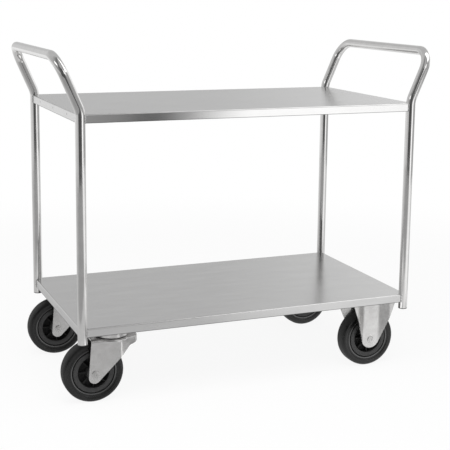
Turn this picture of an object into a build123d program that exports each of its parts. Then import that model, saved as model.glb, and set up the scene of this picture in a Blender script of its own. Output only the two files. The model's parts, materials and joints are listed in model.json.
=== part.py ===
from build123d import *

import os
from math import acos, atan2, cos, degrees, hypot, radians, sin, sqrt, tan

# Shelf trolley. Two bent-tube end frames carry two sheet shelves. A pair of swivel casters is
# at the left end, a pair of fixed casters at the right end.
# Millimetres, X along the trolley, Y across it, Z up, origin on the floor under its middle.

# Wheels
wheel_diameter = 160.0
tyre_width = 40.0
tyre_seat_radius = 54.0
tyre_shoulder_radius = 7.0
tyre_wall_dish = 0.6
tyre_step_radius = 64.0
tyre_step_depth = 1.6
tyre_lip_groove = 2.5
tyre_lip_depth = 4.0
rim_face_inset = 2.0
rim_inner_radius = 41.5
rim_draft = 2.0
rim_edge_round = 1.5
web_thickness = 7.0
rib_count = 8
rib_thickness = 4.0
rib_width = 26.0
hub_length = 57.0
hub_wall = 7.0
hub_side_gap = 1.0

# Axles and wheel bearings
axle_radius = 6.0
axle_fit = 0.05
axle_head_radius = 9.0
axle_head_height = 2.0
axle_head_round = 1.5
sleeve_wall = 3.9
roller_wall = 4.0
roller_end_inset = 3.0
running_gap = 0.05

# Caster forks and brackets, pressed from one thickness of sheet
fork_sheet = 3.5
crown_clearance = 6.5
swivel_trail = 52.0
crown_rear = 61.0
crown_edge_radius = 8.0
nose_reach = 68.0
nose_slant_degrees = 26.0
nose_bend_radius = 14.0
nose_lip_drop = 12.0
leg_end_radius = 16.0
leg_end_setback = 1.0
leg_end_drop = 9.0
leg_knee_x = 44.5
leg_knee_rise = 63.5
leg_knee_round = 10.0
collar_radius = 44.0
collar_depth = 7.5
collar_round = 6.0
bracket_shoulder_radius = 8.0
bracket_shoulder_reach = 64.0
bracket_end_radius = 27.0
bracket_end_rise = 3.0
bracket_bend_radius = 12.0
strip_half_width = 24.0
strip_side_run = 26.0

# Swivel heads
head_height = 20.0
plate_thickness = 5.0
plate_corner_radius = 12.0
cup_sheet = 3.0
cup_radius = 42.5
cup_skirt_gap = 3.0
cup_round = 4.0
boss_base_radius = 36.0
boss_top_radius = 32.0
boss_pocket_radius = 23.0
boss_bore_radius = 13.0
race_radius = 25.5
race_gap = 7.0
ball_radius = 4.5
ball_count = 10
ball_seat_gap = 0.05
ball_running_gap = 0.3
king_pin_radius = 8.0
king_pin_head_radius = 20.0
king_pin_head_height = 3.5
washer_radius = 19.0
washer_thickness = 3.8
washer_gap = 0.1

# Caster places and fasteners
caster_inset_x = 89.5
caster_inset_y = 52.5
bolt_spacing_x = 105.0
bolt_spacing_y = 72.0
bolt_radius = 4.0
bolt_length = 15.0
bolt_hole_gap = 0.5
bolt_edge_distance = 15.0
bolt_shoulder_gap = 2.5
bolt_head_across = 13.0
bolt_head_height = 5.3
nut_height = 6.5
nut_thread_gap = 0.05
nut_side_gap = 1.0

# Shelves
sheet_thickness = 1.5
rim_height = 22.0
rim_outset = 7.5
rim_bend_radius = 3.0
hem_height = 6.0
shelf_rise = 538.0
post_notch_gap = 0.3

# Channels under the shelves
cross_channel_depth = 13.5
cross_channel_sheet = 2.0
stiffener_depth = 15.0
stiffener_sheet = 1.5
stiffener_width = 40.0
stiffener_flange = 15.0
stiffener_spacing = 149.0
channel_end_gap = 2.0

# End frames
tube_diameter = 25.0
tube_wall = 1.5
post_spacing_x = 925.0
post_spacing_y = 505.0
post_below_rim = 20.0
post_bend_above_shelf = 7.0
post_bend_radius = 60.0
handle_rise = 139.5
handle_overhang = 58.0
handle_corner_radius = 55.0
plug_head = 2.5
plug_depth = 18.0
plug_fit = 0.05
plug_round = 2.0
plug_wall = 2.0

# Heights that follow from the sizes above
axle_height = wheel_diameter / 2
crown_top = wheel_diameter + crown_clearance + fork_sheet
plate_underside = crown_top + head_height
caster_height = plate_underside + plate_thickness
lower_shelf_underside = caster_height + cross_channel_depth
lower_shelf_top = lower_shelf_underside + sheet_thickness
upper_shelf_top = lower_shelf_top + shelf_rise
post_foot = lower_shelf_top - rim_height - post_below_rim
tube_radius = tube_diameter / 2
shelf_length = post_spacing_x + 2 * rim_outset
shelf_width = post_spacing_y + 2 * rim_outset

# Places and widths that follow from the bolts, the posts and the wheel
caster_x = post_spacing_x / 2 - caster_inset_x
caster_y = post_spacing_y / 2 - caster_inset_y
plate_length = bolt_spacing_x + 2 * bolt_edge_distance
bolt_head_side = (bolt_spacing_y + bolt_head_across) / 2
bracket_top_half_width = bolt_head_side + bolt_shoulder_gap + bracket_shoulder_radius
plate_width = 2 * bracket_top_half_width
bolt_head_corner = bolt_head_across / sqrt(3)
cross_channel_width = bolt_spacing_x + 2 * (bolt_head_corner + nut_side_gap + cross_channel_sheet)
cross_channel_flange = caster_inset_x - tube_radius - channel_end_gap - cross_channel_width / 2
fork_half_gap = hub_length / 2 + hub_side_gap
fork_half_width = fork_half_gap + fork_sheet
sleeve_radius = axle_radius + axle_fit + sleeve_wall
roller_bore_radius = sleeve_radius + running_gap
hub_bore_radius = roller_bore_radius + roller_wall
leg_low = axle_height - leg_end_drop - 2 * leg_end_radius
nose_slant = radians(nose_slant_degrees)
nose_point = nose_reach + nose_bend_radius * (1 / sin(nose_slant) - 1)
nose_shoulder = nose_point - fork_half_width / tan(nose_slant)

corner_names = {(-1, -1): "front_left", (-1, 1): "back_left", (1, -1): "front_right", (1, 1): "back_right"}

os.makedirs("parts", exist_ok=True)


def write_piece(piece, name):
    piece.label = name
    export_step(piece, f"parts/{name}.step")


def write_copy(piece, name, place):
    with BuildPart() as copy:
        with Locations(place):
            add(piece)
    write_piece(copy.part, name)


# End frames: post, bend outwards at the upper shelf, corner, grip bar and the same way down
def bent_tube(side, outer_radius, inner_radius):
    post_x = side * post_spacing_x / 2
    grip_x = post_x + side * handle_overhang
    post_y = post_spacing_y / 2
    foot_z = post_foot + plug_head
    bend_z = upper_shelf_top + post_bend_above_shelf
    grip_z = upper_shelf_top + handle_rise
    front = [(post_x, -post_y, foot_z), (post_x, -post_y, bend_z), (grip_x, -post_y, grip_z)]
    back = [(x, -y, z) for x, y, z in reversed(front)]
    radii = [post_bend_radius, handle_corner_radius, handle_corner_radius, post_bend_radius]
    with BuildLine() as route:
        FilletPolyline(*front, *back, radius=radii)
    with BuildPart() as tube:
        with BuildSketch(Plane((post_x, -post_y, foot_z))):
            Circle(outer_radius)
            if inner_radius:
                Circle(inner_radius, mode=Mode.SUBTRACT)
        sweep(path=route.wire())
    return tube.part


for side, name in ((-1, "left_end_frame"), (1, "right_end_frame")):
    write_piece(bent_tube(side, tube_radius, tube_radius - tube_wall), name)

post_places = [(sx * post_spacing_x / 2, sy * post_spacing_y / 2, post_foot) for sx, sy in corner_names]

# Plug in the open end of a post: low rounded head and a hollow shank inside the tube
shank_radius = tube_radius - tube_wall - plug_fit
with BuildPart() as post_plug:
    with BuildSketch():
        Circle(tube_radius)
    extrude(amount=plug_head)
    fillet(post_plug.faces().sort_by(Axis.Z)[0].edges(), radius=plug_round)
    with BuildSketch(Plane.XY.offset(plug_head)):
        Circle(shank_radius)
        Circle(shank_radius - plug_wall, mode=Mode.SUBTRACT)
    extrude(amount=plug_depth)

for (sx, sy), place in zip(corner_names, post_places):
    write_copy(post_plug.part, f"{corner_names[sx, sy]}_post_plug", place)

post_clearance = [bent_tube(side, tube_radius + post_notch_gap, 0) for side in (-1, 1)]


# Shelves: one sheet with its rim folded down, a hem turned up inside, corners cut round the posts
def pan(length, width, top, bend_radius):
    with BuildPart() as block:
        with BuildSketch(Plane.XY.offset(top - rim_height)):
            Rectangle(length, width)
        extrude(amount=rim_height)
        fillet(block.faces().sort_by(Axis.Z)[-1].edges(), radius=bend_radius)
    return block.part


def shelf(top):
    wall = 2 * sheet_thickness
    inner_length = shelf_length - wall
    inner_width = shelf_width - wall
    outside = pan(shelf_length, shelf_width, top, rim_bend_radius)
    inside = pan(inner_length, inner_width, top - sheet_thickness, rim_bend_radius - sheet_thickness)
    with BuildPart() as sheet:
        add(outside)
        add(inside, mode=Mode.SUBTRACT)
        with BuildSketch(Plane.XY.offset(top - rim_height)):
            Rectangle(inner_length, inner_width)
            Rectangle(inner_length - wall, inner_width - wall, mode=Mode.SUBTRACT)
        extrude(amount=hem_height)
        for tube in post_clearance:
            add(tube, mode=Mode.SUBTRACT)
    return sheet.part


write_piece(shelf(lower_shelf_top), "lower_shelf")
write_piece(shelf(upper_shelf_top), "upper_shelf")


# Channels: hat sections whose flanges lie against the underside of a shelf
def hat_section(width, depth, thickness, flange):
    outer = width / 2
    inner = outer - thickness
    half = [(0, -depth), (outer, -depth), (outer, -thickness), (outer + flange, -thickness)]
    half += [(outer + flange, 0), (inner, 0), (inner, thickness - depth), (0, thickness - depth)]
    with BuildSketch() as section:
        with BuildLine():
            Polyline(*half, close=True)
        make_face()
        mirror(about=Plane.YZ)
    return section.sketch


bolt_hole_radius = bolt_radius + bolt_hole_gap
cross_channel_length = shelf_width - 2 * (sheet_thickness + channel_end_gap)
cross_section = hat_section(
    cross_channel_width, cross_channel_depth, cross_channel_sheet, cross_channel_flange
)
for side, name in ((-1, "left_caster_channel"), (1, "right_caster_channel")):
    middle = (side * caster_x, 0, lower_shelf_underside)
    with BuildPart() as channel:
        with BuildSketch(Plane(middle, x_dir=(1, 0, 0), z_dir=(0, -1, 0))):
            add(cross_section)
        extrude(amount=cross_channel_length / 2, both=True)
        with BuildSketch(Plane((side * caster_x, 0, caster_height))):
            with GridLocations(0, 2 * caster_y, 1, 2):
                with GridLocations(bolt_spacing_x, bolt_spacing_y, 2, 2):
                    Circle(bolt_hole_radius)
        extrude(amount=cross_channel_sheet, mode=Mode.SUBTRACT)
    write_piece(channel.part, name)

stiffener_section = hat_section(stiffener_width, stiffener_depth, stiffener_sheet, stiffener_flange)
channel_flange_edge = caster_x - cross_channel_width / 2 - cross_channel_flange
long_stiffener = shelf_length - 2 * (sheet_thickness + channel_end_gap)
short_stiffener = 2 * (channel_flange_edge - channel_end_gap)
upper_underside = upper_shelf_top - sheet_thickness
stiffeners = {
    "upper_front_stiffener": (-stiffener_spacing, upper_underside, long_stiffener),
    "upper_middle_stiffener": (0, upper_underside, long_stiffener),
    "upper_back_stiffener": (stiffener_spacing, upper_underside, long_stiffener),
    "lower_middle_stiffener": (0, lower_shelf_underside, short_stiffener),
}
for name, (y, z, length) in stiffeners.items():
    with BuildPart() as stiffener:
        with BuildSketch(Plane((0, y, z), x_dir=(0, 1, 0), z_dir=(1, 0, 0))):
            add(stiffener_section)
        extrude(amount=length / 2, both=True)
    write_piece(stiffener.part, name)

# Wheel, its axle along Z. Tyre: flat tread, round shoulders, walls with a step down to the bead
# and a groove where the rubber meets the rim
wheel_radius = wheel_diameter / 2
tyre_half = tyre_width / 2
tread_half_width = tyre_half - tyre_shoulder_radius
lip_radius = tyre_seat_radius + tyre_lip_groove
step_half = tyre_half - tyre_wall_dish
lip_half = step_half - tyre_step_depth
with BuildPart() as tyre:
    with BuildSketch(Plane.XZ):
        with BuildLine():
            tread = Line((wheel_radius, 0), (wheel_radius, tread_half_width))
            wall_top = (wheel_radius - tyre_shoulder_radius, tyre_half)
            shoulder = TangentArc(tread @ 1, wall_top, tangent=tread % 1)
            Polyline(
                shoulder @ 1,
                (tyre_step_radius, step_half),
                (tyre_step_radius - tyre_step_depth, lip_half),
                (lip_radius, lip_half),
                (tyre_seat_radius, lip_half - tyre_lip_depth),
                (tyre_seat_radius, 0),
                tread @ 0,
            )
        make_face()
        mirror(about=Plane.XZ)
    revolve(axis=Axis.Z)

# Rim: barrel under the tyre, web in the middle plane, hub for the bearing, ribs between
rim_half = tyre_half - rim_face_inset
hub_radius = hub_bore_radius + hub_wall
with BuildPart() as wheel_rim:
    with BuildSketch(Plane.XZ):
        with BuildLine():
            Polyline(
                (hub_bore_radius, 0),
                (hub_bore_radius, hub_length / 2),
                (hub_radius - rim_draft, hub_length / 2),
                (hub_radius, web_thickness / 2),
                (rim_inner_radius - rim_draft, web_thickness / 2),
                (rim_inner_radius, rim_half - rim_edge_round),
                (rim_inner_radius + rim_edge_round, rim_half),
                (tyre_seat_radius, rim_half),
                (tyre_seat_radius, 0),
                close=True,
            )
        make_face()
        mirror(about=Plane.XZ)
    revolve(axis=Axis.Z)
    rib_inner = hub_radius - rim_draft
    rib_outer = rim_inner_radius
    with BuildSketch(Plane.XY.offset(-rib_width / 2)):
        with PolarLocations((rib_inner + rib_outer) / 2, rib_count):
            Rectangle(rib_outer - rib_inner, rib_thickness)
    extrude(amount=rib_width)

with BuildPart() as roller_bearing:
    with BuildSketch(Plane.XY):
        Circle(hub_bore_radius)
        Circle(roller_bore_radius, mode=Mode.SUBTRACT)
    extrude(amount=hub_length / 2 - roller_end_inset, both=True)

with BuildPart() as axle_sleeve:
    with BuildSketch(Plane.XY):
        Circle(sleeve_radius)
        Circle(axle_radius + axle_fit, mode=Mode.SUBTRACT)
    extrude(amount=fork_half_gap, both=True)

# Axle: plain pin riveted over at both ends into low round heads
with BuildPart() as axle:
    with BuildSketch(Plane.XY):
        Circle(axle_radius)
    extrude(amount=fork_half_width, both=True)
    with BuildSketch(Plane.XY.offset(fork_half_width)):
        Circle(axle_head_radius)
    extrude(amount=axle_head_height)
    fillet(axle.faces().sort_by(Axis.Z)[-1].edges(), radius=axle_head_round)
    mirror(about=Plane.XY)


# Swivel fork, the swivel axis on Z, the wheel trailing to -X. The pressed sheet is the space
# between two envelopes: legs bent to a blunt nose in plan, with a rounded crown on top
def fork_envelope(inset):
    rear = -crown_rear - 2 * crown_edge_radius
    half = fork_half_width
    with BuildPart() as envelope:
        with BuildSketch(Plane.XY.offset(leg_low)):
            with BuildLine():
                FilletPolyline(
                    (rear, half),
                    (nose_shoulder, half),
                    (nose_point, 0),
                    (nose_shoulder, -half),
                    (rear, -half),
                    radius=nose_bend_radius,
                )
                Line((rear, -half), (rear, half))
            make_face()
            if inset:
                offset(amount=-inset, mode=Mode.REPLACE)
        extrude(amount=crown_top - inset - leg_low)
        fillet(envelope.faces().sort_by(Axis.Z)[-1].edges(), radius=crown_edge_radius - inset)
    return envelope.part


# Round collar under the bearing dish, wider than the legs
def collar_envelope(inset):
    with BuildPart() as collar:
        with BuildSketch(Plane.XY.offset(crown_top - collar_depth)):
            Circle(collar_radius - inset)
        extrude(amount=collar_depth - inset)
        fillet(collar.faces().sort_by(Axis.Z)[-1].edges(), radius=collar_round - inset)
    return collar.part


fork_outside = fork_envelope(0)
fork_inside = fork_envelope(fork_sheet)
collar_outside = collar_envelope(0)
with BuildPart() as collar_hollow:
    add(collar_envelope(fork_sheet))
    add(fork_outside, mode=Mode.SUBTRACT)

# Side outline of the fork: rear edge, rounded leg end, slanting front edge up to the nose
leg_end = (-swivel_trail - leg_end_setback, axle_height - leg_end_drop)
knee = (leg_knee_x, axle_height + leg_knee_rise)
knee_run = (knee[0] - leg_end[0], knee[1] - leg_end[1])
tangent_angle = atan2(knee_run[1], knee_run[0]) - acos(leg_end_radius / hypot(*knee_run))
front_tangent = (
    leg_end[0] + leg_end_radius * cos(tangent_angle),
    leg_end[1] + leg_end_radius * sin(tangent_angle),
)
rear_tangent = (leg_end[0] - leg_end_radius, leg_end[1])
end_bottom = (leg_end[0], leg_end[1] - leg_end_radius)
lip_end = (nose_reach + fork_sheet, crown_top - nose_lip_drop)
lip_run = (lip_end[0] - knee[0], lip_end[1] - knee[1])
with BuildSketch(Plane.XZ) as fork_side:
    with BuildLine():
        ThreePointArc(rear_tangent, end_bottom, front_tangent)
        Line(front_tangent, knee)
        EllipticalCenterArc((knee[0], lip_end[1]), lip_run[0], lip_run[1], -90, arc_size=90)
        Polyline(
            lip_end,
            (lip_end[0], crown_top + fork_sheet),
            (-crown_rear, crown_top + fork_sheet),
            rear_tangent,
        )
    make_face()
    fillet(fork_side.vertices().sort_by_distance(knee)[0], radius=leg_knee_round)

# Raised boss in the crown: race for the balls above, room for the king pin's head below
cup_underside = plate_underside - cup_sheet
boss_top = cup_underside - race_gap
crown_underside = crown_top - fork_sheet
ball_height = (cup_underside + boss_top) / 2
with BuildPart() as swivel_fork:
    add(fork_outside)
    with BuildSketch(Plane.XZ):
        add(fork_side.sketch)
    extrude(amount=fork_half_width + fork_sheet, both=True, mode=Mode.INTERSECT)
    add(collar_outside)
    with BuildSketch(Plane.XZ):
        Polygon(
            (0, boss_top),
            (boss_top_radius, boss_top),
            (boss_base_radius, crown_top),
            (boss_base_radius, crown_top - fork_sheet / 2),
            (0, crown_top - fork_sheet / 2),
            align=None,
        )
    revolve(axis=Axis.Z)
    add(fork_inside, mode=Mode.SUBTRACT)
    add(collar_hollow.part, mode=Mode.SUBTRACT)
    with BuildSketch(Plane.XY.offset(boss_top - fork_sheet)):
        Circle(boss_pocket_radius)
    extrude(amount=crown_underside - boss_top, mode=Mode.SUBTRACT)
    with BuildSketch(Plane.XY.offset(crown_underside)):
        Circle(boss_bore_radius)
    extrude(amount=boss_top - crown_underside, mode=Mode.SUBTRACT)
    with BuildSketch(Plane.XZ):
        with Locations((race_radius, ball_height)):
            Circle(ball_radius + ball_seat_gap)
    revolve(axis=Axis.Z, mode=Mode.SUBTRACT)
    with BuildSketch(Plane.XZ):
        with Locations((-swivel_trail, axle_height)):
            Circle(axle_radius + axle_fit)
    extrude(amount=fork_half_width, both=True, mode=Mode.SUBTRACT)

# Top plate of a swivel caster
with BuildPart() as top_plate:
    with BuildSketch(Plane.XY.offset(plate_underside)):
        RectangleRounded(plate_length, plate_width, plate_corner_radius)
        Circle(king_pin_radius + axle_fit, mode=Mode.SUBTRACT)
        with GridLocations(bolt_spacing_x, bolt_spacing_y, 2, 2):
            Circle(bolt_hole_radius, mode=Mode.SUBTRACT)
    extrude(amount=plate_thickness)

# Bearing cup: flat race against the plate, skirt down over the raised boss
cup_depth = plate_underside - crown_top - cup_skirt_gap
with BuildPart() as bearing_cup:
    with BuildSketch(Plane.XY.offset(plate_underside)):
        Circle(cup_radius)
    extrude(amount=-cup_depth)
    fillet(bearing_cup.faces().sort_by(Axis.Z)[-1].edges(), radius=cup_round)
    with BuildSketch(Plane.XY.offset(cup_underside)):
        Circle(cup_radius - cup_sheet)
    extrude(amount=-cup_depth, mode=Mode.SUBTRACT)
    with BuildSketch(Plane.XY.offset(plate_underside)):
        Circle(king_pin_radius + axle_fit)
    extrude(amount=-cup_sheet, mode=Mode.SUBTRACT)
    with BuildSketch(Plane.XZ):
        with Locations((race_radius, ball_height)):
            Circle(ball_radius + ball_running_gap)
    revolve(axis=Axis.Z, mode=Mode.SUBTRACT)

with BuildPart() as swivel_balls:
    with PolarLocations(race_radius, ball_count):
        with Locations((0, 0, ball_height)):
            Sphere(ball_radius)

# King pin: flanged head below, flush with the plate's top above, plastic washer under the boss
washer_top = boss_top - fork_sheet - washer_gap
pin_head_top = washer_top - washer_thickness
with BuildPart() as king_pin:
    with BuildSketch(Plane.XY.offset(pin_head_top - king_pin_head_height)):
        Circle(king_pin_head_radius)
    extrude(amount=king_pin_head_height)
    with BuildSketch(Plane.XY.offset(pin_head_top)):
        Circle(king_pin_radius)
    extrude(amount=caster_height - pin_head_top)

with BuildPart() as thrust_washer:
    with BuildSketch(Plane.XY.offset(pin_head_top)):
        Circle(washer_radius)
        Circle(king_pin_radius + axle_fit, mode=Mode.SUBTRACT)
    extrude(amount=washer_thickness)


# Fixed bracket: plate and upright legs in one pressing. The middle strip of each leg is pressed
# in as far as the hub, with bends that run the whole height of the leg
def bracket_envelope(inset):
    outer = bracket_top_half_width
    with BuildPart() as envelope:
        with BuildSketch(Plane.XY.offset(leg_low)):
            with BuildLine():
                for turn in (1, -1):
                    FilletPolyline(
                        (-plate_length, turn * outer),
                        (-strip_half_width - strip_side_run, turn * outer),
                        (-strip_half_width, turn * fork_half_width),
                        (strip_half_width, turn * fork_half_width),
                        (strip_half_width + strip_side_run, turn * outer),
                        (plate_length, turn * outer),
                        radius=bracket_bend_radius,
                    )
                for end in (-plate_length, plate_length):
                    Line((end, outer), (end, -outer))
            make_face()
            if inset:
                offset(amount=-inset, mode=Mode.REPLACE)
        extrude(amount=caster_height - inset - leg_low)
        fillet(envelope.faces().sort_by(Axis.Z)[-1].edges(), radius=bracket_shoulder_radius - inset)
    return envelope.part


bracket_outside = bracket_envelope(0)
bracket_inside = bracket_envelope(fork_sheet)

# Front outline of a bracket: plate corners on top, legs narrowing to a rounded end
shoulder_z = caster_height - bracket_shoulder_radius
bracket_end = (0, axle_height + bracket_end_rise)
shoulder_run = (bracket_shoulder_reach, shoulder_z - bracket_end[1])
side_angle = atan2(shoulder_run[1], shoulder_run[0]) - acos(bracket_end_radius / hypot(*shoulder_run))
with BuildSketch(Plane.XZ) as bracket_front:
    with BuildLine():
        leg_tip = CenterArc(bracket_end, bracket_end_radius, -90, 90 + degrees(side_angle))
        Polyline(
            leg_tip @ 1,
            (bracket_shoulder_reach, shoulder_z),
            (plate_length / 2, shoulder_z),
            (plate_length / 2, caster_height),
            (0, caster_height),
            leg_tip @ 0,
        )
    make_face()
    mirror(about=Plane.YZ)

with BuildPart() as fixed_bracket:
    add(bracket_outside)
    add(bracket_inside, mode=Mode.SUBTRACT)
    with BuildSketch(Plane.XZ):
        add(bracket_front.sketch)
    extrude(amount=bracket_top_half_width, both=True, mode=Mode.INTERSECT)
    with BuildSketch(Plane.XY.offset(caster_height - fork_sheet)):
        with GridLocations(bolt_spacing_x, bolt_spacing_y, 2, 2):
            Circle(bolt_hole_radius)
    extrude(amount=fork_sheet, mode=Mode.SUBTRACT)
    with BuildSketch(Plane.XZ):
        with Locations((0, axle_height)):
            Circle(axle_radius + axle_fit)
    extrude(amount=fork_half_width, both=True, mode=Mode.SUBTRACT)

# Place the casters: wheel pieces are turned so that their axles lie across the trolley
head_pieces = {
    "top_plate": top_plate,
    "bearing_cup": bearing_cup,
    "swivel_balls": swivel_balls,
    "king_pin": king_pin,
    "thrust_washer": thrust_washer,
    "fork": swivel_fork,
}
wheel_pieces = {
    "axle": axle,
    "axle_sleeve": axle_sleeve,
    "roller_bearing": roller_bearing,
    "wheel_rim": wheel_rim,
    "tyre": tyre,
}
for (side_x, side_y), corner in corner_names.items():
    foot = (side_x * caster_x, side_y * caster_y)
    swivels = side_x < 0
    for name, piece in head_pieces.items() if swivels else [("bracket", fixed_bracket)]:
        write_copy(piece.part, f"{corner}_{name}", (*foot, 0))
    trail = swivel_trail if swivels else 0
    wheel_place = Location((foot[0] - trail, foot[1], axle_height), (90, 0, 0))
    for name, piece in wheel_pieces.items():
        write_copy(piece.part, f"{corner}_{name}", wheel_place)

# Bolts from below through plate and channel, nuts inside the channels
with BuildPart() as bolt:
    with BuildSketch(Plane.XY):
        RegularPolygon(bolt_head_across / 2, 6, major_radius=False)
    extrude(amount=-bolt_head_height)
    with BuildSketch(Plane.XY):
        Circle(bolt_radius)
    extrude(amount=bolt_length)

with BuildPart() as nut:
    with BuildSketch(Plane.XY):
        RegularPolygon(bolt_head_across / 2, 6, major_radius=False)
        Circle(bolt_radius + nut_thread_gap, mode=Mode.SUBTRACT)
    extrude(amount=nut_height)

nut_seat = caster_height + cross_channel_sheet
for name, piece, swivel_z, fixed_z in (
    ("caster_bolts", bolt, plate_underside, caster_height - fork_sheet),
    ("caster_nuts", nut, nut_seat, nut_seat),
):
    with BuildPart() as fasteners:
        for side_x, seat in ((-1, swivel_z), (1, fixed_z)):
            with Locations((side_x * caster_x, 0, seat)):
                with GridLocations(0, 2 * caster_y, 1, 2):
                    with GridLocations(bolt_spacing_x, bolt_spacing_y, 2, 2):
                        add(piece.part)
    write_piece(fasteners.part, name)
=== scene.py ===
import bpy
import bmesh
import json
import math
from itertools import product
from mathutils import Matrix, Vector


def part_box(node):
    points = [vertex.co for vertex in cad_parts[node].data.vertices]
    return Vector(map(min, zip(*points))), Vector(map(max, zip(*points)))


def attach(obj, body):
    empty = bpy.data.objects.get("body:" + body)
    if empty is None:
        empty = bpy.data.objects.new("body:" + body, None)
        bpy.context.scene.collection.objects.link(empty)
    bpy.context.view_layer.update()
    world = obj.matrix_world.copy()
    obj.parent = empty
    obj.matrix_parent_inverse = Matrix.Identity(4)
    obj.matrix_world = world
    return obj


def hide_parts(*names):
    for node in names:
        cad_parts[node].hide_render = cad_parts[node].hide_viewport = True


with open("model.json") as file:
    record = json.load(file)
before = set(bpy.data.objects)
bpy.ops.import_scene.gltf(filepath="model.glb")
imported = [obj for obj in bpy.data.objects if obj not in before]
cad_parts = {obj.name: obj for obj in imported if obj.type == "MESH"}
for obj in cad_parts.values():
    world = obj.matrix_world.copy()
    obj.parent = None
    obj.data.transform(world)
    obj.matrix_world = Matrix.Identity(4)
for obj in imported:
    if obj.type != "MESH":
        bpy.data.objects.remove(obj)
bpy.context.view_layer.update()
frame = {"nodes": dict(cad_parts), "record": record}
scene = bpy.context.scene
corners = {"front_left": (-1, -1), "back_left": (-1, 1), "front_right": (1, -1), "back_right": (1, 1)}
print("frame loaded:", len(frame["nodes"]), "nodes")


# Camera
shot = {
    "place": (-1.11922, -2.77418, 1.05069),
    "yaw": 22.331,           # degrees from +Y towards +X
    "pitch": 9.612,          # degrees down
    "roll": -0.656,
    "focalPixels": 1077.8,
    "pictureWidth": 450,     # pixels
    "sensorWidth": 36,       # millimetres
    "shiftY": -0.12,
    "clip": (0.05, 100),
}


def aimCamera(cfg):
    yaw, pitch, roll = (math.radians(cfg[key]) for key in ("yaw", "pitch", "roll"))
    ahead = Vector((math.sin(yaw) * math.cos(pitch), math.cos(yaw) * math.cos(pitch), -math.sin(pitch)))
    level = Vector((math.cos(yaw), -math.sin(yaw), 0))
    down = ahead.cross(level)
    right = level * math.cos(roll) + down * math.sin(roll)
    up = level * math.sin(roll) - down * math.cos(roll)
    lens = bpy.data.cameras.new("trolleyCamera")
    lens.sensor_width = cfg["sensorWidth"]
    lens.lens = cfg["focalPixels"] / cfg["pictureWidth"] * cfg["sensorWidth"]
    lens.shift_y = cfg["shiftY"]
    lens.clip_start, lens.clip_end = cfg["clip"]
    view = bpy.data.objects.new("trolleyCamera", lens)
    axes = Matrix((right, up, -ahead)).transposed().to_4x4()
    view.matrix_world = Matrix.Translation(cfg["place"]) @ axes
    scene.collection.objects.link(view)
    scene.camera = view


aimCamera(shot)
scene.view_settings.view_transform = "Standard"
print("camera placed")


# Shader wiring: sockets that take part in sums
class Wire:
    def __init__(self, tree, socket=None):
        self.tree = tree
        self.socket = socket

    def node(self, kind, settings=None, sockets=None, out=0):
        new = self.tree.nodes.new("ShaderNode" + kind)
        for key, value in (settings or {}).items():
            if key == "stops":
                ramp = new.color_ramp
                while len(ramp.elements) < len(value):
                    ramp.elements.new(0.5)
                for element, (position, colour) in zip(ramp.elements, value):
                    element.position = position
                    element.color = colour
            else:
                setattr(new, key, value)
        for key, value in (sockets or {}).items():
            if isinstance(value, Wire):
                self.tree.links.new(value.socket, new.inputs[key])
            else:
                new.inputs[key].default_value = value
        return Wire(self.tree, new.outputs[out])

    def outputs(self, *names):
        return [Wire(self.tree, self.socket.node.outputs[name]) for name in names]

    def axes(self, names):
        return self.node("SeparateXYZ", None, {0: self}).outputs(*names)

    def maths(self, operation, first, second=0.0, clamp=False):
        return self.node("Math", {"operation": operation, "use_clamp": clamp}, {0: first, 1: second})

    def __add__(self, other):
        return self.maths("ADD", self, other)

    def __radd__(self, other):
        return self.maths("ADD", other, self)

    def __sub__(self, other):
        return self.maths("SUBTRACT", self, other)

    def __rsub__(self, other):
        return self.maths("SUBTRACT", other, self)

    def __mul__(self, other):
        return self.maths("MULTIPLY", self, other)

    def __rmul__(self, other):
        return self.maths("MULTIPLY", other, self)

    def __abs__(self):
        return self.maths("ABSOLUTE", self)

    def clamp(self):
        return self.maths("ADD", self, 0.0, True)

    def stretch(self, scale):
        return self.node("VectorMath", {"operation": "MULTIPLY"}, {0: self, 1: scale})

    def noise(self, scale, detail, roughness=0.5):
        return self.node("TexNoise", {"normalize": True},
                         {"Vector": self, "Scale": scale, "Detail": detail, "Roughness": roughness})

    def step(self, low, high):
        return self.node("MapRange", {"interpolation_type": "SMOOTHSTEP"},
                         {"Value": self, "From Min": low, "From Max": high})

    def blend(self, first, second):
        colours = {0: self, 6: first, 7: second}     # the Mix node's factor and two colours
        return self.node("Mix", {"data_type": "RGBA"}, colours, 2)

    def bump(self, strength, distance):
        return self.node("Bump", None, {"Height": self, "Strength": strength, "Distance": distance})


def grey(level, warm=0.0):
    return (level * (1 + warm), level, level * (1 - warm), 1)


def startMaterial(name):
    material = bpy.data.materials.new(name)
    material.use_nodes = True
    return material, material.node_tree


def newMaterial(name, constants, look, cfg):
    material, tree = startMaterial(name)
    shader = tree.nodes["Principled BSDF"]
    for key, value in constants.items():
        shader.inputs[key].default_value = value
    place = Wire(tree).node("TexCoord", None, None, "Object")
    for key, wire in look(place, cfg).items():
        tree.links.new(wire.socket, shader.inputs[key])
    return material


# Finishes: dark and light are a grey level and its warmth, noises are scale, detail and roughness
def mixed(shares, first, *others):
    total = first * shares[0]
    for share, wire in zip(shares[1:], others):
        total = total + wire * share
    return total


def toneOf(cfg, *noises):
    return mixed(cfg["toneShares"], *noises).step(*cfg["toneStep"])


def shades(tone, dark, light):
    return tone.blend(grey(*dark), grey(*light))


def wornRoughness(wear, cfg):
    return cfg["rough"] + cfg["roughSpread"] * wear.step(*cfg["roughStep"])


tubeLook = {
    "dark": (0.67, 0.008), "light": (0.74, 0.008), "toneShares": (0.7, 0.3), "toneStep": (0.3, 0.7),
    "rough": 0.08, "roughSpread": 0.06, "roughStep": (0.35, 0.75),
    "cloud": (38, 4, 0.6), "drawnAlong": (1, 1, 0.03), "drawn": (1500, 2), "pits": (2600, 1),
    "bumpShares": (0.6, 0.4), "bump": (0.025, 0.0002),
}


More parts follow.
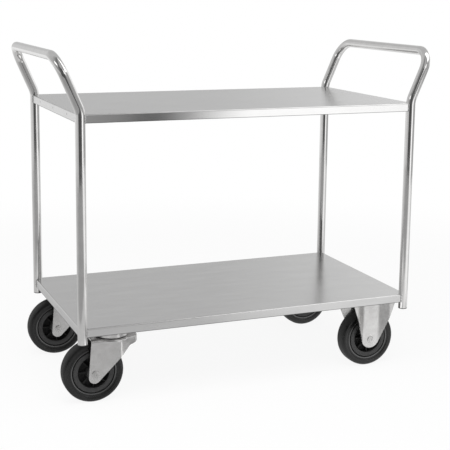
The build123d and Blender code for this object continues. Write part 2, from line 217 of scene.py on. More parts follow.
def tubeZinc(place, cfg):
    cloud = place.noise(*cfg["cloud"])
    drawn = place.stretch(cfg["drawnAlong"]).noise(*cfg["drawn"])
    pits = place.noise(*cfg["pits"])
    return {
        "Base Color": shades(toneOf(cfg, cloud, drawn), cfg["dark"], cfg["light"]),
        "Roughness": wornRoughness(cloud, cfg),
        "Normal": mixed(cfg["bumpShares"], drawn, pits).bump(*cfg["bump"]),
    }


shelfLook = {
    "dark": (0.605, 0.004), "light": (0.648, 0.004),
    "toneShares": (0.12, 0.38, 0.5), "toneStep": (0.36, 0.66),
    "rough": 0.215, "roughSpread": 0.05, "roughShares": (0.75, 0.25), "roughStep": (0.3, 0.7),
    "rolledAlong": (0.02, 1, 1), "rolled": (420, 2), "streakAlong": (0.22, 1, 1), "streak": (40, 3, 0.55),
    "smudge": (7, 5, 0.62), "wave": (5.5, 1), "bumpShares": (0.003, 0.997), "bump": (0.2, 0.002),
    "rimY": (0.2575, 0.2595), "rimRough": 0.1, "rimSpread": 0.4,
    "rimFeet": (0.726, 0.188), "cutEdge": (0.0008, 0.0016), "cutTone": 0.14,     # lower edges of the rims, with a painted dark line along them: a painted reflection of dark surroundings
}


def shelfZinc(place, cfg):
    rolled = place.stretch(cfg["rolledAlong"]).noise(*cfg["rolled"])
    streak = place.stretch(cfg["streakAlong"]).noise(*cfg["streak"])
    smudge = place.noise(*cfg["smudge"])
    wave = place.noise(*cfg["wave"])
    spread = cfg["roughSpread"] * mixed(cfg["roughShares"], smudge.step(*cfg["roughStep"]), rolled)
    across, height = place.axes("YZ")
    rim = abs(across).step(*cfg["rimY"])
    # masks of the painted dark line along the rims' lower edges, a painted reflection
    upper, lower = (abs(height - foot).step(*cfg["cutEdge"]) for foot in cfg["rimFeet"])
    face = shades(toneOf(cfg, rolled, streak, smudge), cfg["dark"], cfg["light"])
    rimRough = cfg["rimRough"] + spread * cfg["rimSpread"]
    return {
        # the face colour, with the painted dark reflection line at the rims' lower edges
        "Base Color": (upper * lower).blend(grey(cfg["cutTone"]), face),
        "Roughness": (cfg["rough"] + spread) * (1 - rim) + rimRough * rim,
        "Normal": mixed(cfg["bumpShares"], rolled, wave).bump(*cfg["bump"]),
    }


pressingLook = {
    "dark": (0.56, 0.012), "light": (0.65, 0.008), "toneShares": (0.6, 0.4), "toneStep": (0.34, 0.68),
    "rough": 0.17, "roughSpread": 0.1, "roughShares": (0.5, 0.5), "roughStep": (0.3, 0.7),
    "cloud": (55, 5, 0.62), "speck": (520, 2, 0.6), "worn": (16, 3),
    "bumpShares": (0.5, 0.5), "bump": (0.12, 0.0006),
}


def pressingZinc(place, cfg):
    cloud = place.noise(*cfg["cloud"])
    speck = place.noise(*cfg["speck"])
    worn = place.noise(*cfg["worn"])
    return {
        "Base Color": shades(toneOf(cfg, cloud, speck), cfg["dark"], cfg["light"]),
        "Roughness": wornRoughness(mixed(cfg["roughShares"], cloud, worn), cfg),
        "Normal": mixed(cfg["bumpShares"], speck, cloud).bump(*cfg["bump"]),
    }


def fromWheelMiddle(place, middleY):
    return abs(abs(place.axes("Y")[0]) - middleY)


rubberLook = {
    "dark": (0.003, 0), "light": (0.007, 0), "toneShares": (0.7, 0.3), "toneStep": (0.35, 0.75),
    "rough": 0.24, "roughSpread": 0.12, "roughStep": (0.3, 0.7),
    "bloom": (42, 5, 0.6), "grain": (1400, 3, 0.6), "bump": (0.25, 0.0003),
    "middleY": 0.2, "tread": (0.0135, 0.0185), "treadRough": 0.62,
}


def tyreRubber(place, cfg):
    bloom = place.noise(*cfg["bloom"])
    grain = place.noise(*cfg["grain"])
    wall = fromWheelMiddle(place, cfg["middleY"]).step(*cfg["tread"])
    return {
        "Base Color": shades(toneOf(cfg, bloom, grain), cfg["dark"], cfg["light"]),
        "Roughness": wornRoughness(bloom, cfg) * wall + cfg["treadRough"] * (1 - wall),
        "Normal": grain.bump(*cfg["bump"]),
    }


rimLook = {
    "dark": (0.028, 0), "light": (0.045, 0), "toneShares": (0.6, 0.4), "toneStep": (0.35, 0.7),
    "rough": 0.32, "roughSpread": 0.14, "roughStep": (0.3, 0.7),
    "dust": (60, 5, 0.6), "grain": (900, 2, 0.6), "bump": (0.18, 0.0002), "middleY": 0.2,
    # the recess inside the rim takes darker greys than the face, as painted shade
    "recess": (0.0162, 0.0176), "recessDark": (0.007, 0), "recessLight": (0.012, 0), "recessRough": 0.8,
}


def rimPlastic(place, cfg):
    dust = place.noise(*cfg["dust"])
    grain = place.noise(*cfg["grain"])
    tone = toneOf(cfg, dust, grain)
    # outer marks the rim face; inside it the recess gets darker greys, painted shade
    outer = fromWheelMiddle(place, cfg["middleY"]).step(*cfg["recess"])
    face = shades(tone, cfg["dark"], cfg["light"])
    recess = shades(tone, cfg["recessDark"], cfg["recessLight"])
    return {
        "Base Color": outer.blend(recess, face),
        "Roughness": wornRoughness(dust, cfg) * outer + cfg["recessRough"] * (1 - outer),
        "Normal": grain.bump(*cfg["bump"]),
    }


plasticLook = {
    "toneShares": (0.6, 0.4), "toneStep": (0.35, 0.7), "roughSpread": 0.15, "roughStep": (0.3, 0.7),
    "cloud": (80, 4, 0.6), "grain": (1100, 2, 0.6), "bump": (0.15, 0.0002),
}
plugLook = dict(plasticLook, dark=(0.05, 0), light=(0.075, 0), rough=0.4)
washerLook = dict(plasticLook, dark=(0.6, 0), light=(0.68, 0), rough=0.4)
zincLook = {
    "toneShares": (0.6, 0.4), "toneStep": (0.35, 0.68), "roughSpread": 0.15, "roughStep": (0.3, 0.7),
    "cloud": (90, 4, 0.6), "grain": (700, 2, 0.6), "bump": (0.12, 0.0003),
}
channelLook = dict(zincLook, dark=(0.48, 0.01), light=(0.58, 0.01), rough=0.34)
plateLook = dict(zincLook, dark=(0.52, 0.01), light=(0.62, 0.01), rough=0.3)
fastenerLook = dict(zincLook, dark=(0.5, 0.01), light=(0.62, 0.01), rough=0.22)
bearingLook = dict(zincLook, dark=(0.55, 0.01), light=(0.62, 0.01), rough=0.12)


def plainFinish(place, cfg):
    cloud = place.noise(*cfg["cloud"])
    grain = place.noise(*cfg["grain"])
    return {
        "Base Color": shades(toneOf(cfg, cloud, grain), cfg["dark"], cfg["light"]),
        "Roughness": wornRoughness(cloud, cfg),
        "Normal": grain.bump(*cfg["bump"]),
    }


metal = {"Metallic": 1.0}
pressedMetal = {"Metallic": 0.85}
polymer = {"Metallic": 0.0, "IOR": 1.5}
shinyPolymer = {**polymer, "Coat Weight": 1.0, "Coat IOR": 1.9, "Coat Roughness": 0.16}
finishes = {
    "tube_zinc": newMaterial("tubeZinc", metal, tubeZinc, tubeLook),
    "shelf_zinc": newMaterial("shelfZinc", metal, shelfZinc, shelfLook),
    "channel_zinc": newMaterial("channelZinc", metal, plainFinish, channelLook),
    "pressing_zinc": newMaterial("pressingZinc", pressedMetal, pressingZinc, pressingLook),
    "plate_zinc": newMaterial("plateZinc", metal, plainFinish, plateLook),
    "fastener_zinc": newMaterial("fastenerZinc", metal, plainFinish, fastenerLook),
    "bearing_steel": newMaterial("bearingSteel", metal, plainFinish, bearingLook),
    "rim_plastic": newMaterial("rimPlastic", polymer, rimPlastic, rimLook),
    "tyre_rubber": newMaterial("tyreRubber", polymer, tyreRubber, rubberLook),
    "plug_plastic": newMaterial("plugPlastic", polymer, plainFinish, plugLook),
    "washer_plastic": newMaterial("washerPlastic", polymer, plainFinish, washerLook),
}
beadRubber = newMaterial("beadRubber", shinyPolymer, tyreRubber, rubberLook)
slotOf = {part["node"]: part["material_slot"] for part in frame["record"]["subparts"]}
bodyOf = {node: body for body, nodes in frame["record"]["behaviour"]["bodies"].items() for node in nodes}
for node, part in frame["nodes"].items():
    part.data.materials.clear()
    part.data.materials.append(finishes[slotOf[node]])
print("finishes:", len(finishes))


# Piece helpers
def finishPiece(name, bm, body, slotName, nodes, sharp):
    bmesh.ops.recalc_face_normals(bm, faces=bm.faces)
    mesh = bpy.data.meshes.new(name)
    bm.to_mesh(mesh)
    bm.free()
    mesh.polygons.foreach_set("use_smooth", [True] * len(mesh.polygons))
    mesh.set_sharp_from_angle(angle=math.radians(sharp))
    mesh.materials.append(finishes[slotName])
    piece = bpy.data.objects.new(name, mesh)
    scene.collection.objects.link(piece)
    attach(piece, body)
    if nodes:
        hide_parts(*nodes)
    return piece


def middleOf(node):
    low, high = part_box(node)
    return (Vector(low) + Vector(high)) / 2


def ringEdges(verts):
    members = set(verts)
    found = [edge for vert in verts for edge in vert.link_edges if edge.other_vert(vert) in members]
    return list(dict.fromkeys(found))


def straightRun(bm, edges, move):
    made = bmesh.ops.extrude_edge_only(bm, edges=edges)["geom"]
    verts = [part for part in made if isinstance(part, bmesh.types.BMVert)]
    bmesh.ops.translate(bm, verts=verts, vec=move)
    return ringEdges(verts)


def bentRun(bm, edges, centre, axis, angle, steps):
    made = bmesh.ops.spin(bm, geom=edges, cent=centre, axis=axis, angle=angle, steps=steps)["geom_last"]
    return ringEdges([part for part in made if isinstance(part, bmesh.types.BMVert)])


def roundEdges(bm, edges, size, segments):
    bmesh.ops.bevel(bm, geom=edges, offset=size, offset_type="OFFSET", segments=segments,
                    profile=0.5, affect="EDGES", material=-1)


# End frames: one tube each, up a post, out at the bend, round the corners of the grip and down again
frameTube = {
    "radius": 0.0125, "wall": 0.0015, "postX": 0.4625, "postY": 0.2525, "foot": 0.1705,
    "bendZ": 0.755, "gripZ": 0.8875, "overhang": 0.058, "bendRadius": 0.06, "cornerRadius": 0.055,
    "sides": 56, "bendSteps": 10, "cornerSteps": 24, "merge": 1e-5, "sharp": 50,
}


def buildEndFrame(node, side, cfg):
    lean = Vector((side * cfg["overhang"], 0, cfg["gripZ"] - cfg["bendZ"]))
    leanAngle = math.atan2(cfg["overhang"], cfg["gripZ"] - cfg["bendZ"])
    bendRun = cfg["bendRadius"] * math.tan(leanAngle / 2)
    away = lean.normalized()
    across = Vector((0, 1, 0))
    foot = Vector((side * cfg["postX"], -cfg["postY"], cfg["foot"]))
    gripEnd = Vector((side * (cfg["postX"] + cfg["overhang"]), -cfg["postY"], cfg["gripZ"]))
    upRun = Vector((0, 0, cfg["bendZ"] - bendRun - cfg["foot"]))
    leanRun = away * (lean.length - bendRun - cfg["cornerRadius"])
    bendCentre = foot + upRun + Vector((side * cfg["bendRadius"], 0, 0))
    cornerCentre = gripEnd + (across - away) * cfg["cornerRadius"]
    bm = bmesh.new()
    ring = bmesh.ops.create_circle(bm, cap_ends=False, segments=cfg["sides"], radius=cfg["radius"],
                                   matrix=Matrix.Translation(foot))["verts"]
    edges = straightRun(bm, ringEdges(ring), upRun)
    edges = bentRun(bm, edges, bendCentre, (0, side, 0), leanAngle, cfg["bendSteps"])
    edges = straightRun(bm, edges, leanRun)
    edges = bentRun(bm, edges, cornerCentre, away.cross(across), math.pi / 2, cfg["cornerSteps"])
    straightRun(bm, edges, across * (cfg["postY"] - cfg["cornerRadius"]))     # half the grip
    bmesh.ops.mirror(bm, geom=bm.verts[:] + bm.edges[:] + bm.faces[:], axis="Y", merge_dist=cfg["merge"])
    bmesh.ops.remove_doubles(bm, verts=bm.verts, dist=cfg["merge"])
    bmesh.ops.recalc_face_normals(bm, faces=bm.faces)
    bmesh.ops.solidify(bm, geom=bm.faces[:], thickness=cfg["wall"])
    finishPiece(node + "_tube", bm, "trolley", "tube_zinc", [node], cfg["sharp"])


for node, side in (("left_end_frame", -1), ("right_end_frame", 1)):
    buildEndFrame(node, side, frameTube)
print("end frames")


# Sheet pieces keep their solids' shapes, with even shading over flats and bends
sheetCopy = {"merge": 1e-6, "flatAngle": 0.05, "shadingWeight": 60, "shelfSharp": 40, "pressingSharp": 32}


def copyOfNode(node, name, sharp, cfg):
    bm = bmesh.new()
    bm.from_mesh(frame["nodes"][node].data)
    bmesh.ops.remove_doubles(bm, verts=bm.verts, dist=cfg["merge"])
    bmesh.ops.dissolve_limit(bm, angle_limit=math.radians(cfg["flatAngle"]), verts=bm.verts, edges=bm.edges)
    piece = finishPiece(name, bm, bodyOf[node], slotOf[node], [node], sharp)
    weighted = piece.modifiers.new("evenShading", "WEIGHTED_NORMAL")
    weighted.keep_sharp = True
    weighted.weight = cfg["shadingWeight"]


for node in ("upper_shelf", "lower_shelf"):
    copyOfNode(node, node + "_sheet", sheetCopy["shelfSharp"], sheetCopy)
for node in frame["nodes"]:
    if node.endswith(("_bracket", "_top_plate", "_bearing_cup", "_fork")):
        copyOfNode(node, node + "_pressing", sheetCopy["pressingSharp"], sheetCopy)
print("sheet pieces")


# Turned shapes: an outline of (radius, along) pairs spun round Y, then some of its rings rounded
turning = {"merge": 1e-7, "ringMatch": 1e-6}


def onRing(vert, radius, along):
    offRadius = abs(math.hypot(vert.co.x, vert.co.z) - radius)
    return max(offRadius, abs(vert.co.y - along)) < turning["ringMatch"]


def turnedShape(bm, outline, steps, rounds=()):
    last = bm.verts.new((*outline[0], 0))
    for point in outline[1:]:
        last = bmesh.ops.extrude_vert_indiv(bm, verts=[last])["verts"][0]
        last.co = (*point, 0)
    bmesh.ops.spin(bm, geom=bm.verts[:] + bm.edges[:], cent=(0, 0, 0), axis=(0, 1, 0),
                   angle=2 * math.pi, steps=steps, use_merge=True)
    bmesh.ops.remove_doubles(bm, verts=bm.verts, dist=turning["merge"])
    for point, size, segments in rounds:
        ring = [edge for edge in bm.edges if all(onRing(vert, *point) for vert in edge.verts)]
        roundEdges(bm, ring, size, segments)


def turnedRing(bm, outline, steps, rounds):
    turnedShape(bm, outline + outline[:1], steps, rounds)


def bothEnds(half):
    return half + [(radius, -along) for radius, along in reversed(half)]


def bothRounds(rounds):
    return [((radius, turn * along), size, segments)
            for turn in (1, -1) for (radius, along), size, segments in rounds]


def placeShape(bm, centre):
    bmesh.ops.translate(bm, verts=bm.verts, vec=centre)


def joinShape(bm, part):
    mesh = bpy.data.meshes.new("part")
    part.to_mesh(mesh)
    part.free()
    bm.from_mesh(mesh)
    bpy.data.meshes.remove(mesh)


# Tyres: crowned plain tread, round shoulders, walls stepped down to the bead
tyreShape = {
    "radius": 0.08, "half": 0.02, "crown": 0.0008, "flat": 0.005, "shoulder": 0.0078, "shoulderSegments": 6,
    "wallDish": 0.0006, "ridgeRadius": 0.0705, "ridge": 0.00035, "ridgeHalf": 0.0008, "ridgeDish": 0.00018,
    "stepRadius": 0.065, "stepDepth": 0.0016, "stepRound": 0.0009, "stepFootRound": 0.0007,
    "lipRadius": 0.0562, "lipDepth": 0.004, "lipRound": 0.0008, "seatRadius": 0.054, "edgeSegments": 3,
    "steps": 192, "sharp": 38,
}
beadLine = {
    "footRadius": 0.0606, "crestRadius": 0.0584, "innerRadius": 0.056, "rise": 0.0013, "footSink": 0.0004,
    "innerSink": 0.0012, "round": 0.0021, "segments": 6, "steps": 96, "sharp": 50,
}


def lipOf(tyre):
    return tyre["half"] - tyre["wallDish"] - tyre["stepDepth"]


def buildTyre(node, cfg):
    wall = cfg["half"] - cfg["wallDish"]
    corner = (cfg["radius"] - cfg["crown"], cfg["half"])
    ridgeFoot = cfg["half"] - cfg["ridgeDish"]
    step = (cfg["stepRadius"], wall)
    stepFoot = (cfg["stepRadius"] - cfg["stepDepth"], lipOf(cfg))
    lip = (cfg["lipRadius"], lipOf(cfg))
    half = [
        (cfg["radius"], cfg["flat"]), corner,
        (cfg["ridgeRadius"] + cfg["ridgeHalf"], ridgeFoot), (cfg["ridgeRadius"], ridgeFoot + cfg["ridge"]),
        (cfg["ridgeRadius"] - cfg["ridgeHalf"], ridgeFoot),
        step, stepFoot, lip, (cfg["seatRadius"], lipOf(cfg) - cfg["lipDepth"]),
    ]
    rounds = bothRounds([
        (corner, cfg["shoulder"], cfg["shoulderSegments"]), (step, cfg["stepRound"], cfg["edgeSegments"]),
        (stepFoot, cfg["stepFootRound"], cfg["edgeSegments"]), (lip, cfg["lipRound"], cfg["edgeSegments"]),
    ])
    bm = bmesh.new()
    turnedRing(bm, bothEnds(half), cfg["steps"], rounds)
    placeShape(bm, middleOf(node))
    finishPiece(node + "_rubber", bm, bodyOf[node], "tyre_rubber", [node], cfg["sharp"])


def buildBeadLines(node, cfg, tyre):
    lip = lipOf(tyre)
    bm = bmesh.new()
    for turn in (1, -1):
        crest = (cfg["crestRadius"], turn * (lip + cfg["rise"]))
        outline = [(cfg["footRadius"], turn * (lip - cfg["footSink"])), crest,
                   (cfg["innerRadius"], turn * (lip - cfg["innerSink"]))]
        ring = bmesh.new()
        turnedRing(ring, outline, cfg["steps"], [(crest, cfg["round"], cfg["segments"])])
        joinShape(bm, ring)
    placeShape(bm, middleOf(node))
    piece = finishPiece(node + "_bead_lines", bm, bodyOf[node], "tyre_rubber", (), cfg["sharp"])
    piece.data.materials[0] = beadRubber


# Rims: barrel, web, hub and ribs of one moulding
rimShape = {
    "seatRadius": 0.054, "half": 0.018, "innerRadius": 0.0415, "draft": 0.002, "web": 0.0035,
    "hubBore": 0.014, "hubRadius": 0.021, "hubHalf": 0.0285, "steps": 128, "sharp": 35,
    "faceRound": 0.0015, "footRound": 0.0025, "roundSegments": 4,
    "seatRound": 0.0008, "hubRound": 0.001, "edgeSegments": 3,
    "ribs": 8, "ribThickness": 0.004, "ribHalf": 0.013, "ribRound": 0.0009,
}


def buildRim(node, cfg):
    face = (cfg["innerRadius"], cfg["half"])
    seat = (cfg["seatRadius"], cfg["half"])
    hubEnd = (cfg["hubRadius"] - cfg["draft"], cfg["hubHalf"])
    hubFoot = (cfg["hubRadius"], cfg["web"])
    webEnd = (cfg["innerRadius"] - cfg["draft"], cfg["web"])
    half = [(cfg["hubBore"], cfg["hubHalf"]), hubEnd, hubFoot, webEnd, face, seat]
    rounds = bothRounds([
        (face, cfg["faceRound"], cfg["roundSegments"]), (seat, cfg["seatRound"], cfg["edgeSegments"]),
        (hubEnd, cfg["hubRound"], cfg["edgeSegments"]), (hubFoot, cfg["footRound"], cfg["roundSegments"]),
        (webEnd, cfg["footRound"], cfg["roundSegments"]),
    ])
    bm = bmesh.new()
    turnedRing(bm, bothEnds(half)[::-1], cfg["steps"], rounds)
    start, stop = hubEnd[0], cfg["innerRadius"]
    for count in range(cfg["ribs"]):
        place = (Matrix.Rotation(2 * math.pi * count / cfg["ribs"], 4, "Y")
                 @ Matrix.Translation(((start + stop) / 2, 0, 0))
                 @ Matrix.Diagonal((stop - start, 2 * cfg["ribHalf"], cfg["ribThickness"], 1)))
        block = bmesh.ops.create_cube(bm, size=1, matrix=place)["verts"]
        roundEdges(bm, ringEdges(block), cfg["ribRound"], cfg["edgeSegments"])
    placeShape(bm, middleOf(node))
    finishPiece(node + "_moulding", bm, bodyOf[node], "rim_plastic", [node], cfg["sharp"])


# Axles: pins riveted over at both ends
axleShape = {
    "radius": 0.006, "half": 0.035, "headRadius": 0.009, "headHeight": 0.002, "headRound": 0.0014,
    "headSegments": 4, "dimple": 0.0035, "dimpleDepth": 0.0008, "steps": 48, "sharp": 40,
}


def buildAxle(node, cfg):
    under = cfg["half"] - cfg["headHeight"]
    dent = cfg["half"] - cfg["dimpleDepth"]
    rim = (cfg["headRadius"], cfg["half"])
    half = [(0, dent), (cfg["dimple"], dent), (cfg["dimple"] + cfg["dimpleDepth"], cfg["half"]),
            rim, (cfg["headRadius"], under), (cfg["radius"], under)]
    bm = bmesh.new()
    turnedShape(bm, bothEnds(half), cfg["steps"], bothRounds([(rim, cfg["headRound"], cfg["headSegments"])]))
    placeShape(bm, middleOf(node))
    finishPiece(node + "_rivet", bm, bodyOf[node], slotOf[node], [node], cfg["sharp"])


# Plugs in the feet of the posts
plugShape = {
    "radius": 0.0125, "head": 0.0025, "round": 0.0018, "roundSegments": 5,
    "shank": 0.0109, "shankWall": 0.002, "steps": 56, "sharp": 40,
}


def buildPlug(node, cfg):
    low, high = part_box(node)
    rise = high[2] - low[2]
    inside = cfg["shank"] - cfg["shankWall"]
    edge = (cfg["radius"], 0)
    outline = [(0, 0), edge, (cfg["radius"], cfg["head"]), (cfg["shank"], cfg["head"]), (cfg["shank"], rise),
               (inside, rise), (inside, cfg["head"]), (0, cfg["head"])]
    bm = bmesh.new()
    turnedShape(bm, outline, cfg["steps"], [(edge, cfg["round"], cfg["roundSegments"])])
    bmesh.ops.rotate(bm, verts=bm.verts, cent=(0, 0, 0), matrix=Matrix.Rotation(math.pi / 2, 3, "X"))
    placeShape(bm, Vector((*middleOf(node).xy, low[2])))
    finishPiece(node + "_cap", bm, bodyOf[node], "plug_plastic", [node], cfg["sharp"])


for node in frame["nodes"]:
    if node.endswith("_tyre"):
        buildTyre(node, tyreShape)
        buildBeadLines(node, beadLine, tyreShape)
    if node.endswith("_wheel_rim"):
        buildRim(node, rimShape)
    if node.endswith("_axle"):
        buildAxle(node, axleShape)
    if node.endswith("_post_plug"):
        buildPlug(node, plugShape)
print("wheels, axles and plugs")


# Weld beads between the shelf rims and the posts
weldBead = {
    "radius": 0.0021, "drops": 15, "height": 0.017, "drop": 0.0028, "squash": 0.85, "fineness": 2,
    "waver": 0.12, "waverTurns": (7.3, 2.1, 3.7, 11),     # radians for each drop, side and metre up
    "alongX": (0.4519, 0.2602), "alongY": (0.4702, 0.2419), "sharp": 60,
}


def buildBeads(cfg):
    tops = [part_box(shelf)[1][2] for shelf in ("upper_shelf", "lower_shelf")]
    seams = (cfg["alongX"], cfg["alongY"])
    perDrop, perX, perY, perMetre = cfg["waverTurns"]
    bm = bmesh.new()
    for top, (sideX, sideY), (x, y), count in product(tops, corners.values(), seams, range(cfg["drops"])):
        place = (sideX * x, sideY * y, top - cfg["drop"] - cfg["height"] * count / (cfg["drops"] - 1))
        waver = cfg["waver"] * math.sin(perDrop * count + perX * sideX + perY * sideY + perMetre * top)
        bmesh.ops.create_icosphere(
            bm, subdivisions=cfg["fineness"], radius=cfg["radius"] * (1 + waver),
            matrix=Matrix.Translation(place) @ Matrix.Diagonal((1, 1, cfg["squash"], 1)))
    finishPiece("weld_beads", bm, "trolley", "shelf_zinc", (), cfg["sharp"])


# Small marks of spot welds on the end rims, three on the upper shelf and one on the lower
spotMark = {
    "radius": 0.0032, "rise": 0.00022, "sink": 0.0004,
    "crestRadius": 0.00224, "dentRadius": 0.00128, "dentRise": 0.000066,
    "stiffenerY": 0.149, "lowerY": -0.014, "drop": 0.0105, "steps": 24, "sharp": 70,
}


def buildSpots(cfg):
    upper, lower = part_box("upper_shelf"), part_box("lower_shelf")
    crater = [(0, cfg["dentRise"]), (cfg["dentRadius"], cfg["dentRise"]), (cfg["crestRadius"], cfg["rise"]),
              (cfg["radius"], 0), (cfg["radius"], -cfg["sink"]), (0, -cfg["sink"])]
    rows = (-cfg["stiffenerY"], 0, cfg["stiffenerY"])
    bm = bmesh.new()
    for side in (0, 1):
        turn = Matrix.Rotation((1 - 2 * side) * math.pi / 2, 4, "Z")
        places = [(upper[side][0], y, upper[1][2] - cfg["drop"]) for y in rows]
        places.append((lower[side][0], cfg["lowerY"], lower[1][2] - cfg["drop"]))
        for place in places:
            spot = bmesh.new()
            turnedShape(spot, crater, cfg["steps"])
            bmesh.ops.transform(spot, verts=spot.verts, matrix=Matrix.Translation(place) @ turn)
            joinShape(bm, spot)
    finishPiece("spot_marks", bm, "trolley", "channel_zinc", (), cfg["sharp"])


buildBeads(weldBead)
buildSpots(spotMark)
print("welds")


# Bolts under the caster plates: hexagon heads on washers
boltShape = {
    "spacingX": 0.105, "spacingY": 0.072, "bracketSheet": 0.0035,
    "across": 0.013, "head": 0.0053, "headSides": 6, "headRound": 0.0009, "headSegments": 2,
    "washerRadius": 0.0078, "washer": 0.0009, "washerSides": 24,
    "shank": 0.004, "length": 0.015, "shankSides": 20, "sharp": 30,
}


def addCylinder(bm, foot, radius, rise, sides):
    return bmesh.ops.create_cone(
        bm, cap_ends=True, segments=sides, radius1=radius, radius2=radius, depth=abs(rise),
        matrix=foot @ Matrix.Translation((0, 0, rise / 2)))["verts"]


def addBolt(bm, place, cfg):
    foot = Matrix.Translation(place)
    head = addCylinder(bm, foot, cfg["across"] / math.sqrt(3), -cfg["head"], cfg["headSides"])
    lower = [vert for vert in head if vert.co.z < place[2] - cfg["head"] / 2]
    roundEdges(bm, ringEdges(lower), cfg["headRound"], cfg["headSegments"])
    addCylinder(bm, foot, cfg["washerRadius"], -cfg["washer"], cfg["washerSides"])
    addCylinder(bm, foot, cfg["shank"], cfg["length"], cfg["shankSides"])


def buildBolts(node, cfg):
    bm = bmesh.new()
    for corner, sides in corners.items():
        swivel = sides[0] < 0
        plate = corner + ("_top_plate" if swivel else "_bracket")
        low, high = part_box(plate)
        centre = middleOf(plate)
        seat = low[2] if swivel else high[2] - cfg["bracketSheet"]
        for stepX, stepY in product((-0.5, 0.5), repeat=2):
            addBolt(bm, (centre.x + stepX * cfg["spacingX"], centre.y + stepY * cfg["spacingY"], seat), cfg)
    finishPiece("caster_bolts_hex", bm, "trolley", "fastener_zinc", [node], cfg["sharp"])


buildBolts("caster_bolts", boltShape)
print("bolts")


# Studio: white surroundings and floor, with grey cards that show only in the shine of the pieces
studio = {
    "world": 1.0, "worldFill": 0.3,
    "floor": 0.95, "floorRough": 0.9, "floorSize": 40.0, "floorGlow": (0.91, 1.0), "floorFade": (1.3, 2.6),
    "wallRadius": 3.5, "wallHeight": 2.8, "cardSides": 96,
    "groundInner": 1.25, "groundLift": 0.0005,
    "casterCard": ((-0.75, -0.69), (0.95, -0.3)), "casterLift": 0.0008,
    # degrees from -Y towards +X, and how bright the card is there
    "wallTones": (
        (-180, 0.7), (-168, 0.9), (-161, 1.0), (-150, 0.95), (-125, 0.85), (-60, 0.62), (-52, 0.09),
        (0, 0.09), (4, 0.36), (7, 0.42), (10, 0.3), (12.5, 0.12), (14.1, 0.19), (15.1, 0.34), (16.3, 0.55),
        (17.4, 0.85), (18.5, 1.15), (19.8, 1.43), (21.5, 1.6), (36, 1.55), (40, 1.0), (50, 0.6), (60, 0.45),
        (120, 0.5), (147, 0.75), (158, 0.62), (165, 0.62), (180, 0.62)),
    "upperTones": (
        (-180, 0.6), (-172, 0.6), (-163, 0.72), (-150, 0.74), (-125, 0.65), (-100, 0.55), (-60, 0.3),
        (-50, 0.16), (-17, 0.09), (0, 0.11), (9, 0.3), (14, 0.34), (18, 0.45), (40, 0.42), (60, 0.45),
        (80, 0.6), (97, 0.95), (107, 1.3), (122, 1.3), (134, 0.9), (147, 0.76), (158, 0.63), (165, 0.62),
        (180, 0.62)),
    "upperBand": (0.5, 0.75),     # heights between which the wall goes over to its upper tones
    "ceilingTones": (
        (-180, 0.6), (-100, 0.62), (-70, 0.34), (-55, 0.2), (-35, 0.3), (-20, 0.6), (0, 0.5), (20, 0.42),
        (35, 0.5), (45, 2.4), (75, 2.5), (92, 0.6), (180, 0.6)),
    "groundTones": (
        (-180, 0.9), (-100, 0.58), (-75, 0.42), (-52, 0.4), (0, 0.42), (12, 0.5), (22, 1.05), (43, 1.2),
        (60, 1.1), (75, 0.75), (100, 0.72), (180, 0.9)),
    # metres along X, and how bright the card is there
    "nearTones": (
        (-0.19, 0.655), (-0.1, 0.635), (0.04, 0.67), (0.16, 0.78), (0.28, 0.87), (0.4, 0.95), (0.62, 0.98),
        (0.76, 0.93)),
    "casterTones": (
        (-0.62, 0.95), (-0.52, 0.8), (-0.42, 0.62), (-0.29, 0.6), (-0.262, 0.5), (-0.235, 0.45),
        (-0.222, 0.46), (-0.208, 0.54), (-0.195, 0.72), (-0.18, 1.0), (-0.155, 1.4), (-0.12, 1.7),
        (-0.06, 1.7), (-0.02, 0.7), (0.0, 0.36), (0.05, 0.26), (0.12, 0.34), (0.2, 0.6), (0.26, 0.82),
        (0.42, 0.97), (0.58, 1.2), (0.63, 1.15), (0.67, 0.6), (0.85, 0.5)),
    "panels": {
        "studioFrontPanel": {
            "turn": 12, "away": 3.1, "middle": 2.1, "width": 2.0, "height": 1.2, "tone": 1.2},
        "studioLeftPanel": {
            "turn": -72, "away": 3.1, "middle": 2.15, "width": 1.3, "height": 0.8, "tone": 1.8},
    },
    "softbox": {"place": (-0.6, -1.2, 3.4), "aim": (0, 0, 0.4), "size": 3.2, "power": 110.0},
}


def stagePiece(name, bm, material, shineOnly):
    mesh = bpy.data.meshes.new(name)
    bm.to_mesh(mesh)
    bm.free()
    mesh.materials.append(material)
    piece = bpy.data.objects.new(name, mesh)
    scene.collection.objects.link(piece)
    if shineOnly:
        piece.visible_camera = False
        piece.visible_diffuse = False
        piece.visible_transmission = False
        piece.visible_shadow = False


halfTurn = 180     # degrees


def cardMaterial(name, tones, span, turned, upperTones=None, band=None):
    material, tree = startMaterial(name)
    tree.nodes.remove(tree.nodes["Principled BSDF"])
    place = Wire(tree).node("TexCoord", None, None, "Object")
    along, across, height = place.axes("XYZ")
    if turned:
        along = place.maths("ARCTAN2", along, 0 - across) * (halfTurn / math.pi)
    share = along * (0.5 / span) + 0.5
    rows = []
    for row in (tones, upperTones):
        if row:
            stops = [((at + span) / (2 * span), grey(level)) for at, level in row]
            rows.append(place.node("ValToRGB", {"stops": stops}, {0: share}))
    tone = height.step(*band).blend(*rows) if upperTones else rows[0]
    glow = place.node("Emission", None, {"Color": tone, "Strength": 1.0})
    tree.links.new(glow.socket, tree.nodes["Material Output"].inputs["Surface"])
    return material


def seenRays(tree):
    camera, glossy, through = Wire(tree).node("LightPath").outputs(
        "Is Camera Ray", "Is Glossy Ray", "Is Transmission Ray")
    return (camera + glossy + through).clamp()


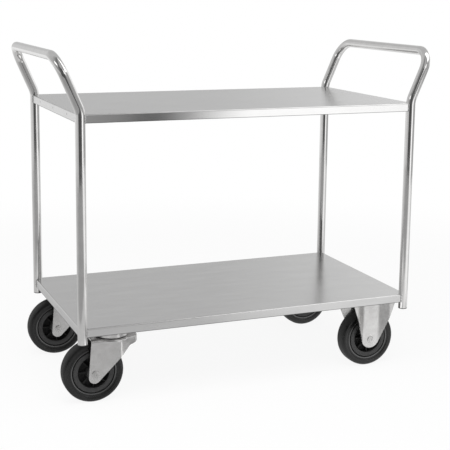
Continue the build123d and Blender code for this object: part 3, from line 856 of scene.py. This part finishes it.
def floorMaterial(cfg):
    material, tree = startMaterial("studioFloor")
    shader = tree.nodes["Principled BSDF"]
    shader.inputs["Base Color"].default_value = grey(cfg["floor"])
    shader.inputs["Roughness"].default_value = cfg["floorRough"]
    shader.inputs["Specular IOR Level"].default_value = 0.0
    seen = seenRays(tree)
    place = seen.node("TexCoord", None, None, "Object")
    reach = place.node("VectorMath", {"operation": "LENGTH"}, {0: place}, "Value").step(*cfg["floorFade"])
    near, far = cfg["floorGlow"]
    share = seen * (near + (far - near) * reach)
    white = seen.node("Emission", None, {"Color": grey(1), "Strength": 1.0})
    surface = seen.node("MixShader", None, {0: share, 1: Wire(tree, shader.outputs[0]), 2: white})
    tree.links.new(surface.socket, tree.nodes["Material Output"].inputs["Surface"])
    return material


def studioWorld(level, fill):
    world = bpy.data.worlds.new("studio")
    world.use_nodes = True
    tree = world.node_tree
    backdrop = tree.nodes["Background"]
    backdrop.inputs["Color"].default_value = grey(1)
    tree.links.new((fill + (level - fill) * seenRays(tree)).socket, backdrop.inputs["Strength"])
    return world


def roundCard(cfg, radius, height, filled):
    bm = bmesh.new()
    bmesh.ops.create_circle(bm, cap_ends=filled, segments=cfg["cardSides"], radius=radius,
                            matrix=Matrix.Translation((0, 0, height)))
    return bm


def flatCard(place, width, height):
    bm = bmesh.new()
    shape = place @ Matrix.Diagonal((width, height, 1, 1))
    bmesh.ops.create_grid(bm, x_segments=1, y_segments=1, size=0.5, matrix=shape)     # size is half a side
    return bm


def buildRoundCards(cfg):
    above, below = (cardMaterial("studio_" + key, cfg[key], halfTurn, True)
                    for key in ("ceilingTones", "groundTones"))
    around = cardMaterial("studio_wallTones", cfg["wallTones"], halfTurn, True,
                          cfg["upperTones"], cfg["upperBand"])
    wall = roundCard(cfg, cfg["wallRadius"], 0, False)
    straightRun(wall, wall.edges[:], (0, 0, cfg["wallHeight"]))
    stagePiece("studioCards", wall, around, True)
    ground = roundCard(cfg, cfg["groundInner"], cfg["groundLift"], False)
    outer = {vert for edge in straightRun(ground, ground.edges[:], (0, 0, 0)) for vert in edge.verts}
    widen = cfg["wallRadius"] / cfg["groundInner"]
    bmesh.ops.scale(ground, verts=list(outer), vec=(widen, widen, 1))
    stagePiece("studioGroundCard", ground, below, True)
    stagePiece("studioCeiling", roundCard(cfg, cfg["wallRadius"], cfg["wallHeight"], True), above, True)


def buildLowCards(cfg):
    near, caster = (cardMaterial("studio_" + key, cfg[key], cfg["groundInner"], False)
                    for key in ("nearTones", "casterTones"))
    stagePiece("studioNearCard", roundCard(cfg, cfg["groundInner"], cfg["groundLift"], True), near, True)
    low, high = (Vector(point) for point in cfg["casterCard"])
    middle = Matrix.Translation((*(low + high) / 2, cfg["casterLift"]))
    stagePiece("studioCasterCard", flatCard(middle, *(high - low)), caster, True)


def buildPanels(cfg):
    for name, cut in cfg["panels"].items():
        place = (Matrix.Rotation(math.radians(cut["turn"]), 4, "Z")
                 @ Matrix.Translation((0, -cut["away"], cut["middle"]))
                 @ Matrix.Rotation(math.pi / 2, 4, "X"))
        material = cardMaterial(name, ((0, cut["tone"]), (1, cut["tone"])), cfg["wallRadius"], False)
        stagePiece(name, flatCard(place, cut["width"], cut["height"]), material, True)


def hangSoftbox(cfg):
    lamp = bpy.data.lights.new("softbox", "AREA")
    lamp.size = cfg["size"]
    lamp.energy = cfg["power"]
    light = bpy.data.objects.new("softbox", lamp)
    light.location = cfg["place"]
    light.rotation_euler = (Vector(cfg["place"]) - Vector(cfg["aim"])).to_track_quat("Z", "Y").to_euler()
    light.visible_glossy = False
    scene.collection.objects.link(light)


scene.world = studioWorld(studio["world"], studio["worldFill"])
floor = bmesh.new()
bmesh.ops.create_grid(floor, x_segments=1, y_segments=1, size=studio["floorSize"])
stagePiece("studioFloor", floor, floorMaterial(studio), False)
buildRoundCards(studio)
buildLowCards(studio)
buildPanels(studio)
hangSoftbox(studio["softbox"])
print("studio")
